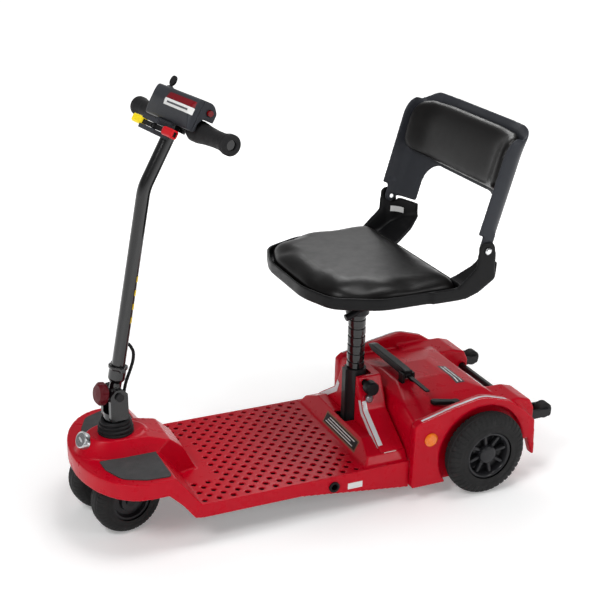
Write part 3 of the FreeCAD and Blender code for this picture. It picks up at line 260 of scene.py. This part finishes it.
def revolve(name, profile, centre, axis, segments=64):
    """Surface of revolution; profile is (distance along the axis, radius) in metres."""
    turn = Vector((1, 0, 0)).rotation_difference(axis).to_matrix().to_4x4()
    place = Matrix.Translation(centre) @ turn
    points, faces = [], []
    rows = len(profile)
    for k in range(segments):
        angle = 2 * math.pi * k / segments
        for x, r in profile:
            points.append(place @ Vector((x, r * math.cos(angle), r * math.sin(angle))))
        following = (k + 1) % segments
        for i in range(rows - 1):
            faces.append((k * rows + i, following * rows + i, following * rows + i + 1, k * rows + i + 1))
    return mesh_from(name, points, faces)


def bar_between(name, start, end, wide, tall, across):
    """Rectangular bar from start to end, wide along `across`."""
    along = (end - start).normalized()
    side = (across - along * across.dot(along)).normalized() * wide / 2
    up = along.cross(side).normalized() * tall / 2
    corners = ((-1, -1), (1, -1), (1, 1), (-1, 1))
    points = [base + side * a + up * b for base in (start, end) for a, b in corners]
    faces = [(0, 1, 2, 3), (7, 6, 5, 4), (0, 4, 5, 1), (1, 5, 6, 2), (2, 6, 7, 3), (3, 7, 4, 0)]
    return mesh_from(name, points, faces)


def surface_tree(mesh):
    corners = [tuple(polygon.vertices) for polygon in mesh.polygons]
    return BVHTree.FromPolygons([vertex.co for vertex in mesh.vertices], corners)


def backrest_axes():
    """Hinge of the backrest, the direction up along it and the direction rearwards out of it."""
    hinge = Vector(JOINTS["backrest_fold"]["pos_m"])
    upward = Vector((0, math.sin(BACK_LEAN), math.cos(BACK_LEAN)))
    rear = Vector((0, math.cos(BACK_LEAN), -math.sin(BACK_LEAN)))
    return hinge, upward, rear


def corner_top(x, radius):
    """Height above the hinge of the backrest's outline at x, with rounded top corners."""
    over = min(radius, max(0.0, abs(x) - (BACK_HALF - radius)))
    return BACK_TALL - radius + math.sqrt(radius * radius - over * over)


def swept(mesh):
    """Squares up the backrest's corners seen from the front and rounds its wings seen from the side."""
    hinge, upward, rear = backrest_axes()
    grow_from = 0.12                      # height above the hinge where the corners start to grow
    old_corner, new_corner = 0.072, 0.054
    curve_from, curve_tall, curve_radius = 0.196, 0.076, 0.072
    wing_front, curve_end, wing_rear = -0.030, 0.016, 0.030
    for vertex in mesh.vertices:
        depth, height = (vertex.co - hinge).dot(rear), (vertex.co - hinge).dot(upward)
        if height > grow_from:
            new_top, old_top = corner_top(vertex.co.x, new_corner), corner_top(vertex.co.x, old_corner)
            grow = (new_top - grow_from) / (old_top - grow_from)
            vertex.co += upward * (height - grow_from) * (grow - 1)
            height = grow_from + (height - grow_from) * grow
        part = min(1.0, max(0.0, (height - curve_from) / curve_tall))
        front = min(curve_end, wing_front + curve_radius * (1 - math.sqrt(1 - part * part)))
        if depth < wing_rear:
            vertex.co += rear * ((wing_rear - depth) * (front - wing_front) / (wing_rear - wing_front))
    return evaluated(mesh, ("SMOOTH", {"factor": 0.5, "iterations": 5}))


def sticker(name, centre, across, up, wide, tall, target, body, look, lift=0.0004):
    """Thin patch laid on the target's surface, seen from across x up."""
    across, up = Vector(across).normalized(), Vector(up).normalized()
    normal = across.cross(up)
    tree = surface_tree(target.data)
    cell = 0.003
    columns = max(2, round(wide / cell))
    rows = max(2, round(tall / cell))
    points = []
    for i in range(columns + 1):
        for j in range(rows + 1):
            flat = Vector(centre) + across * (i / columns - 0.5) * wide + up * (j / rows - 0.5) * tall
            hit = tree.ray_cast(flat + normal * 0.03, -normal, 0.08)[0]
            points.append((hit or flat) + normal * lift)
    step = rows + 1
    faces = [(i * step + j, (i + 1) * step + j, (i + 1) * step + j + 1, i * step + j + 1)
             for i in range(columns) for j in range(rows)]
    return new_piece(name, mesh_from(name, points, faces), look, body)


def pieces_where(node, keep):
    """The faces of a CAD node whose centres pass the test, as a mesh of their own."""
    data = NODES[node].data
    chosen = [polygon for polygon in data.polygons if keep(polygon.center)]
    used = sorted({index for polygon in chosen for index in polygon.vertices})
    place = {index: k for k, index in enumerate(used)}
    faces = [[place[index] for index in polygon.vertices] for polygon in chosen]
    return mesh_from(node + "_piece", [data.vertices[index].co for index in used], faces)


def disc(name, centre, across, up, wide, tall, body, look):
    """Flat oval patch."""
    points = [Vector(centre)]
    faces = []
    count = 48
    for k in range(count):
        angle = 2 * math.pi * k / count
        points.append(Vector(centre) + across * wide / 2 * math.cos(angle) + up * tall / 2 * math.sin(angle))
        faces.append((0, 1 + k, 1 + (k + 1) % count))
    return new_piece(name, mesh_from(name, points, faces), look, body)


# ---- shells --------------------------------------------------------------------------------
MOULDED = (                             # CAD node, body, voxel size, rounds of smoothing
    ("rear_shell", "chassis", 0.0024, 14),
    ("deck_shell", "chassis", 0.0020, 5),
    ("pedestal_cover", "chassis", 0.0020, 8),
    ("seat_pan", "seat", 0.0024, 26),
    ("back_shell", "backrest", 0.0024, 30),
    ("head_housing", "tiller", 0.0013, 8),
    ("head_cover", "tiller", 0.0013, 8),
    ("release_lever", "release_lever", 0.0011, 12),
    ("freewheel_lever", "freewheel_lever", 0.0010, 8),
    ("tiller_knuckle", "tiller", 0.0011, 6),
)


def shells():
    """Moulded shells with rounded edges, one per CAD shell."""
    slots = {part["node"]: part["material_slot"] for part in frame["record"]["subparts"]}
    made = {}
    for node, body, voxel, rounds in MOULDED:
        slot = slots[node]
        mesh = soften(node, voxel, rounds)
        if node == "back_shell":
            mesh = swept(mesh)
        made[node] = new_piece(node + "_moulded", mesh, LOOKS[slot], body, (node,))
    return made


# ---- cushions ------------------------------------------------------------------------------
def cushion(node, body, shrink, pinned, cap, pressure=4.0):
    """Padded cushion: the CAD solid drawn in, then blown up as cloth with its base held."""
    low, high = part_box(node)
    middle = (low + high) / 2
    mesh = NODES[node].data.copy()
    for vertex in mesh.vertices:
        offset = vertex.co - middle
        vertex.co = middle + Vector([offset[i] * shrink[i] for i in range(3)])
    mesh = evaluated(mesh, ("REMESH", {"mode": "VOXEL", "voxel_size": 0.006}),
                     ("SMOOTH", {"factor": 0.5, "iterations": 22}))
    if node == "back_cushion":
        mesh = swept(mesh)
    rest = [vertex.co.copy() for vertex in mesh.vertices]
    piece = bpy.data.objects.new(node + "_padded", mesh)
    bpy.context.scene.collection.objects.link(piece)
    group = piece.vertex_groups.new(name="base")
    group.add([v.index for v in mesh.vertices if pinned(v.co)], 1.0, "REPLACE")
    cloth = piece.modifiers.new("cloth", "CLOTH")
    cloth.settings.quality = 5
    cloth.settings.mass = 0.3
    cloth.settings.tension_stiffness = 40
    cloth.settings.compression_stiffness = 40
    cloth.settings.shear_stiffness = 8
    cloth.settings.bending_stiffness = 10
    cloth.settings.use_pressure = True
    cloth.settings.uniform_pressure_force = pressure
    cloth.settings.effector_weights.gravity = 0.0
    cloth.settings.vertex_group_mass = "base"
    settled = 20
    for number in range(1, settled + 1):
        bpy.context.scene.frame_set(number)
    swollen = piece.evaluated_get(bpy.context.evaluated_depsgraph_get())
    targets = [vertex.co.copy() for vertex in swollen.data.vertices]
    piece.modifiers.clear()
    for vertex, start, target in zip(mesh.vertices, rest, targets):
        moved = target - start
        vertex.co = start + moved * min(1.0, cap / max(moved.length, 1e-9))
        vertex.co = Vector([min(high[i], max(low[i], vertex.co[i])) for i in range(3)])
    bpy.context.scene.frame_set(1)
    bpy.data.objects.remove(piece)
    mesh = evaluated(mesh, ("SMOOTH", {"factor": 0.5, "iterations": 34}), ("SUBSURF", {"levels": 1}))
    made = new_piece(node + "_padded", mesh, LOOKS["vinyl"], body, (node,))
    return made


def cushions():
    """Seat and backrest cushions, each held by a layer of its base."""
    seat_base, back_base = 0.016, 0.034
    seat_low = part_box("seat_cushion")[0]
    cushion("seat_cushion", "seat", (0.985, 0.985, 0.88), lambda co: co.z < seat_low.z + seat_base, 0.008, 2.5)
    hinge, _, rear = backrest_axes()
    reach = max((v.co - hinge).dot(rear) for v in NODES["back_cushion"].data.vertices)
    cushion("back_cushion", "backrest", (0.985, 0.9, 0.97),
            lambda co: (co - hinge).dot(rear) > reach - back_base, 0.014)


# ---- wheels --------------------------------------------------------------------------------
def tread(name, joint, node, body, lugs, groove):
    """Tyre with a rounded section, cross bars on its shoulders and grooves round it."""
    low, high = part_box(node)
    axis = Vector(JOINTS[joint]["axis"]).normalized()
    turned = abs(axis.y) > 0.01           # the front wheels are steered, so their box is wider than they are
    centre = (low + high) / 2
    radius = (high.z - low.z) / 2
    wide = 0.060 if turned else high.x - low.x
    bead = 0.044 if turned else 0.058
    place = Matrix.Translation(centre) @ Vector((1, 0, 0)).rotation_difference(axis).to_matrix().to_4x4()
    steps, per_lug = 56, 8
    points, faces = [], []
    for k in range(lugs * per_lug):
        angle = 2 * math.pi * k / (lugs * per_lug)
        pulse = 1.0 if k % per_lug < 2 else 0.0
        for j in range(steps + 1):
            sweep = math.pi * (j / steps - 0.5)
            x = wide / 2 * math.copysign(abs(math.sin(sweep)) ** 0.72, math.sin(sweep))
            rise = abs(math.cos(sweep)) ** 0.62
            r = bead + (radius - bead) * rise
            offset = abs(x) / (wide / 2)
            if 0.42 < offset < 0.97 and rise > 0.55:
                r -= groove * pulse
            if 0.30 < offset < 0.42 or offset < 0.06:
                r -= groove * 0.8
            if 0.30 < rise < 0.36:
                r -= 0.0008
                x -= math.copysign(0.0010, x)
            points.append(place @ Vector((x, r * math.cos(angle), r * math.sin(angle))))
    rows = steps + 1
    total = lugs * per_lug
    for k in range(total):
        following = (k + 1) % total
        for j in range(steps):
            faces.append((k * rows + j, following * rows + j, following * rows + j + 1, k * rows + j + 1))
    return new_piece(name, mesh_from(name, points, faces), LOOKS["tyre"], body, (node,))


def rear_wheel_face(side, sign):
    """Spoked rim with a domed hub cap, dished on its outer side."""
    body = "rear_wheel_" + side
    centre = Vector(JOINTS["rear_" + side]["pos_m"])
    axis = Vector((sign, 0, 0))
    profile = [(-18, 10.1), (-18, 57.9), (19, 57.9), (21, 55), (21, 52), (18, 50), (14, 48.5), (2, 47.5),
               (-2, 45), (-2, 24), (6, 22), (16, 21.5), (18.5, 19), (20, 12), (20.3, 0.1)]
    ring = revolve("rear_rim_" + side, [(x * MM, r * MM) for x, r in profile], centre, axis)
    new_piece("rear_rim_dish_" + side, ring, LOOKS["rim"], body, ("rear_rim_" + side,))
    spokes, first = 8, 12
    for k in range(spokes):
        angle = math.radians(360 / spokes * k + first)
        out = Vector((0, math.cos(angle), math.sin(angle)))
        inner, outer = centre + axis * 0.006 + out * 0.020, centre + axis * 0.009 + out * 0.0485
        spoke = bar_between("spoke", inner, outer, 0.0075, 0.013, axis.cross(out))
        spoke = evaluated(spoke, ("BEVEL", {"width": 0.0018, "segments": 2}))
        new_piece(f"rear_spoke_{side}_{k + 1}", spoke, LOOKS["rim"], body)


def draped(name, tree, stations, lift, flip, replaced=()):
    """Reflective band, three points wide at each station, dropped from above on a surface."""
    start, reach = 0.30, 0.20
    points, faces = [], []
    for station in stations:
        for x, y in station:
            hit = tree.ray_cast(Vector((x, y, start)), DOWN, reach)[0]
            points.append((hit or points[-1]) + Vector((0, 0, lift)))
    for k in range(len(stations) - 1):
        for a in (3 * k, 3 * k + 1):
            faces.append((a, a + 3, a + 4, a + 1) if flip else (a, a + 1, a + 4, a + 3))
    new_piece(name, mesh_from(name, points, faces), LOOKS["stripe"], "chassis", replaced)


def stripes(made):
    """Reflective bands along the fenders' crests and down the edges of the pedestal's front."""
    shell, cover = surface_tree(made["rear_shell"].data), surface_tree(made["pedestal_cover"].data)
    outer = ((0.0605, 0.2040), (0.0725, 0.1800), (0.1540, 0.1266))
    inner = ((0.0500, 0.1990), (0.0620, 0.1725), (0.1440, 0.1190))
    front = 0.1032                        # just ahead of the pedestal's front face
    crest_xs, edge_ys = (0.1985, 0.2025, 0.2065), (0.1050, 0.1105, 0.1160)
    for side, sign in (("left", 1), ("right", -1)):
        crest = [[(sign * x, 0.184 + 0.222 * k / 60) for x in crest_xs] for k in range(61)]
        replaced, slot = (("reflective_stripes",), "stripe") if sign > 0 else ((), None)
        draped("fender_band_" + side, shell, crest, 0.0005, sign < 0, replaced)
        points = [(sign * x, front, z) for pair in zip(outer, inner) for x, z in pair]
        faces = [(0, 2, 3, 1), (2, 4, 5, 3)] if sign < 0 else [(0, 1, 3, 2), (2, 3, 5, 4)]
        flank = mesh_from("flank_band_" + side, points, faces)
        new_piece("flank_band_" + side, flank, LOOKS["stripe"], "chassis")
        edge = [[(sign * (0.064 + 0.088 * k / 36), y) for y in edge_ys] for k in range(37)]
        draped("flank_edge_" + side, cover, edge, 0.0006, sign > 0)


def deck_shade_sheet():
    """Dark sheet under the drain holes, painted shade that darkens the floor seen through them, notched around the
    frame's neck.
    """
    xs, ys, top = (-0.180, -0.030, 0.030, 0.180), (-0.330, -0.290, 0.078), 0.0936
    points = [(x, y, top) for y in ys for x in xs]
    faces = [(0, 1, 5, 4), (2, 3, 7, 6), (4, 5, 9, 8), (5, 6, 10, 9), (6, 7, 11, 10)]
    sheet = mesh_from("deck_shade_sheet", points, faces)
    # painted shade: a thin black sheet under the deck that stands in for the shadow beneath it
    painted_shade = evaluated(sheet, ("SOLIDIFY", {"thickness": 0.0014, "offset": -1}))
    new_piece("deck_shade_sheet", painted_shade, LOOKS["knob_black"], "chassis")


def throttle_caps():
    """The two throttle caps, each in its own colour."""
    origin, across = head_frame()[:2]
    near = pieces_where("throttle_pads", lambda co: (co - origin).dot(across) > 0)
    far = pieces_where("throttle_pads", lambda co: (co - origin).dot(across) <= 0)
    new_piece("throttle_cap_near", near, LOOKS["pad_red"], "throttle", ("throttle_pads",))
    new_piece("throttle_cap_far", far, LOOKS["pad_yellow"], "throttle")


def badge():
    """Bright oval ring on the dome around a plain dark field with one bar."""
    tilt, half_wide, half_tall, segments = math.radians(56), 0.027, 0.017, 48
    across = Vector((1, 0, 0))
    normal = Vector((0, -math.sin(tilt), math.cos(tilt)))
    up = Vector((0, math.cos(tilt), math.sin(tilt)))
    middle, proud = Vector((0, -0.5310, 0.1985)), 0.003
    face = middle + normal * proud
    rings = ((1.0, -0.010), (1.0, 0.0015), (0.95, 0.003), (0.86, 0.003), (0.80, 0.0018), (0.0, 0.0018))
    rows = len(rings)
    points, faces = [], []
    for k in range(segments):
        angle = 2 * math.pi * k / segments
        for size, lift in rings:
            sideways = across * half_wide * size * math.cos(angle)
            points.append(face + sideways + up * half_tall * size * math.sin(angle) + normal * lift)
        following = (k + 1) % segments
        faces += [(k * rows + i, following * rows + i, following * rows + i + 1, k * rows + i + 1)
                  for i in range(rows - 1)]
    ring = mesh_from("badge_ring", points, faces)
    new_piece("badge_ring", ring, LOOKS["badge"], "chassis", ("nose_badge",))
    field, bar = face + normal * 0.0022, face + normal * 0.0026
    disc("badge_field", field, across, up, 0.0445, 0.0275, "chassis", LOOKS["badge_centre"])
    disc("badge_bar", bar, across, up, 0.026, 0.005, "chassis", LOOKS["badge"])


def wheels():
    """Treads on all four tyres and spokes in the rear rims."""
    for side, sign in (("left", 1), ("right", -1)):
        tread("rear_tread_" + side, "rear_" + side, "rear_tyre_" + side, "rear_wheel_" + side, 44, 0.0032)
        tread("front_tread_" + side, "front_" + side, "front_tyre_" + side, "front_wheel_" + side, 48, 0.0012)
        rear_wheel_face(side, sign)


# ---- labels ---------------------------------------------------------------------------------
def labels(made):
    """Plain bars and bands where the object carries its stickers."""
    deck, rear, pan, cover = made["deck_shell"], made["rear_shell"], made["seat_pan"], made["head_cover"]
    x_axis, y_axis, z_axis = (1, 0, 0), (0, 1, 0), (0, 0, 1)
    slope, flank = (0, 0.447, 0.894), (-0.92, 0, 0.39)
    printed = 0.0008                      # lift of what lies on a label
    riser = (0.033, 0.069, 0.118)
    sticker("riser_label", riser, x_axis, slope, 0.168, 0.030, deck, "chassis", LABEL_BROWN)
    sticker("riser_label_field", riser, x_axis, slope, 0.160, 0.022, deck, "chassis", LABEL_BLACK, printed)
    for k, (middle, wide) in enumerate(((0.030, 0.14), (0.026, 0.12), (0.036, 0.13))):
        height = (k - 1) * 0.0062
        place = (middle, 0.069 + 0.447 * height, 0.118 + 0.894 * height)
        sticker(f"riser_label_bar_{k + 1}", place, x_axis, slope, wide, 0.0022, deck, "chassis", LABEL_WHITE,
                0.0011)
    sticker("deck_side_label", (0.190, 0.030, 0.068), y_axis, z_axis, 0.036, 0.015, deck, "chassis",
            LABEL_WHITE)
    sticker("platform_label", (0.160, 0.128, 0.122), y_axis, flank, 0.030, 0.016, deck, "chassis", LABEL_WHITE)
    sticker("platform_label_mark", (0.160, 0.136, 0.122), y_axis, flank, 0.007, 0.008, deck, "chassis",
            LABEL_BLACK, printed)
    sticker("body_label", (0.044, 0.352, 0.222), x_axis, y_axis, 0.090, 0.024, rear, "chassis", LABEL_GREY)
    for k in range(2):
        sticker(f"body_label_bar_{k + 1}", (0.044, 0.347 + 0.010 * k, 0.222), x_axis, y_axis, 0.082, 0.0035,
                rear, "chassis", LABEL_WHITE, printed)
    across, up = head_frame()[1], head_frame()[3]
    upper, lower = head_point(38, -52, 42), head_point(38, -54, 28)
    sticker("head_label_red", upper, across, up, 0.106, 0.013, cover, "tiller", LABEL_RED)
    sticker("head_label_white", lower, across, up, 0.108, 0.014, cover, "tiller", LABEL_WHITE)
    sticker("head_label_line", lower, across, up, 0.084, 0.0035, cover, "tiller", LABEL_GREY, printed)
    pivot = Vector(JOINTS["tiller_fold"]["pos_m"])
    tube = Vector((-math.sin(STEER_REST) * math.sin(TILLER_LEAN),
                   math.cos(STEER_REST) * math.sin(TILLER_LEAN), math.cos(TILLER_LEAN)))
    outward = Vector((0.62, 0.78, 0))
    outward = (outward - tube * outward.dot(tube)).normalized()
    tube_radius = 0.0145
    for k in range(4):
        place = pivot + tube * (0.168 + 0.030 * k) + outward * tube_radius
        sticker(f"tube_mark_{k + 1}", place, tube.cross(outward), tube, 0.009, 0.013, NODES["tiller_tube"],
                "tiller", LABEL_YELLOW)
    sticker("cheek_label", (-0.220, 0.322, 0.560), y_axis, z_axis, 0.022, 0.014, pan, "seat", LABEL_WHITE)


# ---- stage ---------------------------------------------------------------------------------
def sky():
    """Even world, bright at the horizon and dimmer overhead."""
    world = bpy.data.worlds.new("sky")
    bpy.context.scene.world = world
    world.use_nodes = True
    tree = world.node_tree
    height = tree.nodes.new("ShaderNodeSeparateXYZ")
    tree.links.new(tree.nodes.new("ShaderNodeTexCoord").outputs["Generated"], height.inputs["Vector"])
    ramp = tree.nodes.new("ShaderNodeMapRange")
    ramp.inputs["From Min"].default_value = 0.02
    ramp.inputs["From Max"].default_value = 0.30
    ramp.inputs["To Min"].default_value = 1.0
    ramp.inputs["To Max"].default_value = 0.24
    tree.links.new(height.outputs["Z"], ramp.inputs["Value"])
    tree.links.new(ramp.outputs["Result"], tree.nodes["Background"].inputs["Strength"])
    tree.nodes["Background"].inputs["Color"].default_value = (1, 1, 1, 1)


def stage():
    """White floor that runs out of sight, soft lamps and the sky."""
    floor = mesh_from("floor", [(-40, -40, 0), (40, -40, 0), (40, 40, 0), (-40, 40, 0)], [(0, 1, 2, 3)])
    ground = bpy.data.objects.new("floor", floor)
    bpy.context.scene.collection.objects.link(ground)
    white = surface("floor", (0.92, 0.92, 0.92), 0.9, mottle=0.005, depth=0.0)
    shader = white.node_tree.nodes["Principled BSDF"]
    shader.inputs["Emission Color"].default_value = (1, 1, 1, 1)
    tree = white.node_tree
    away = tree.nodes.new("ShaderNodeVectorMath")
    away.operation = "LENGTH"
    tree.links.new(tree.nodes.new("ShaderNodeTexCoord").outputs["Object"], away.inputs[0])
    glow = tree.nodes.new("ShaderNodeMapRange")
    glow.inputs["From Min"].default_value = 0.5
    glow.inputs["From Max"].default_value = 2.2
    glow.inputs["To Min"].default_value = 0.22
    glow.inputs["To Max"].default_value = 0.85
    tree.links.new(away.outputs["Value"], glow.inputs["Value"])
    tree.links.new(glow.outputs["Result"], shader.inputs["Emission Strength"])
    floor.materials.append(white)
    sky()
    lamps = (("key", (1.3, -2.0, 2.6), 0.9, 34), ("side", (2.6, 1.6, 1.7), 0.7, 15),
             ("rim", (-2.2, 1.2, 2.2), 0.9, 13), ("top", (0.2, 0.4, 3.0), 1.2, 34))
    for name, place, size, power in lamps:
        lamp = bpy.data.lights.new(name, "AREA")
        lamp.size = size
        lamp.energy = power
        holder = bpy.data.objects.new(name, lamp)
        bpy.context.scene.collection.objects.link(holder)
        holder.location = place
        holder.rotation_euler = (Vector((0, 0, 0.3)) - holder.location).to_track_quat("-Z", "Y").to_euler()


def camera():
    """Camera in front of the rider's left side, a little above the seat."""
    azimuth, elevation, roll = math.radians(65.32), math.radians(21.70), math.radians(1.22)
    right = Vector((math.cos(azimuth), math.sin(azimuth), 0))
    back = Vector((math.sin(azimuth) * math.cos(elevation), -math.cos(azimuth) * math.cos(elevation),
                   math.sin(elevation)))
    up = back.cross(right)
    aim, distance = Vector((-0.022, -0.017, 0.439)), 2.75
    place = aim + back * distance
    side = math.cos(roll) * right + math.sin(roll) * up
    top = -math.sin(roll) * right + math.cos(roll) * up
    lens = bpy.data.cameras.new("camera")
    lens.lens = 73.56
    lens.sensor_width = 36.0
    holder = bpy.data.objects.new("camera", lens)
    bpy.context.scene.collection.objects.link(holder)
    holder.matrix_world = Matrix.Translation(place) @ Matrix((side, top, back)).transposed().to_4x4()
    bpy.context.scene.camera = holder
    bpy.context.scene.view_settings.view_transform = "Standard"


camera()
stage()
finish_nodes()
moulded = shells()
cushions()
wheels()
deck_shade_sheet()
stripes(moulded)
throttle_caps()
badge()
labels(moulded)
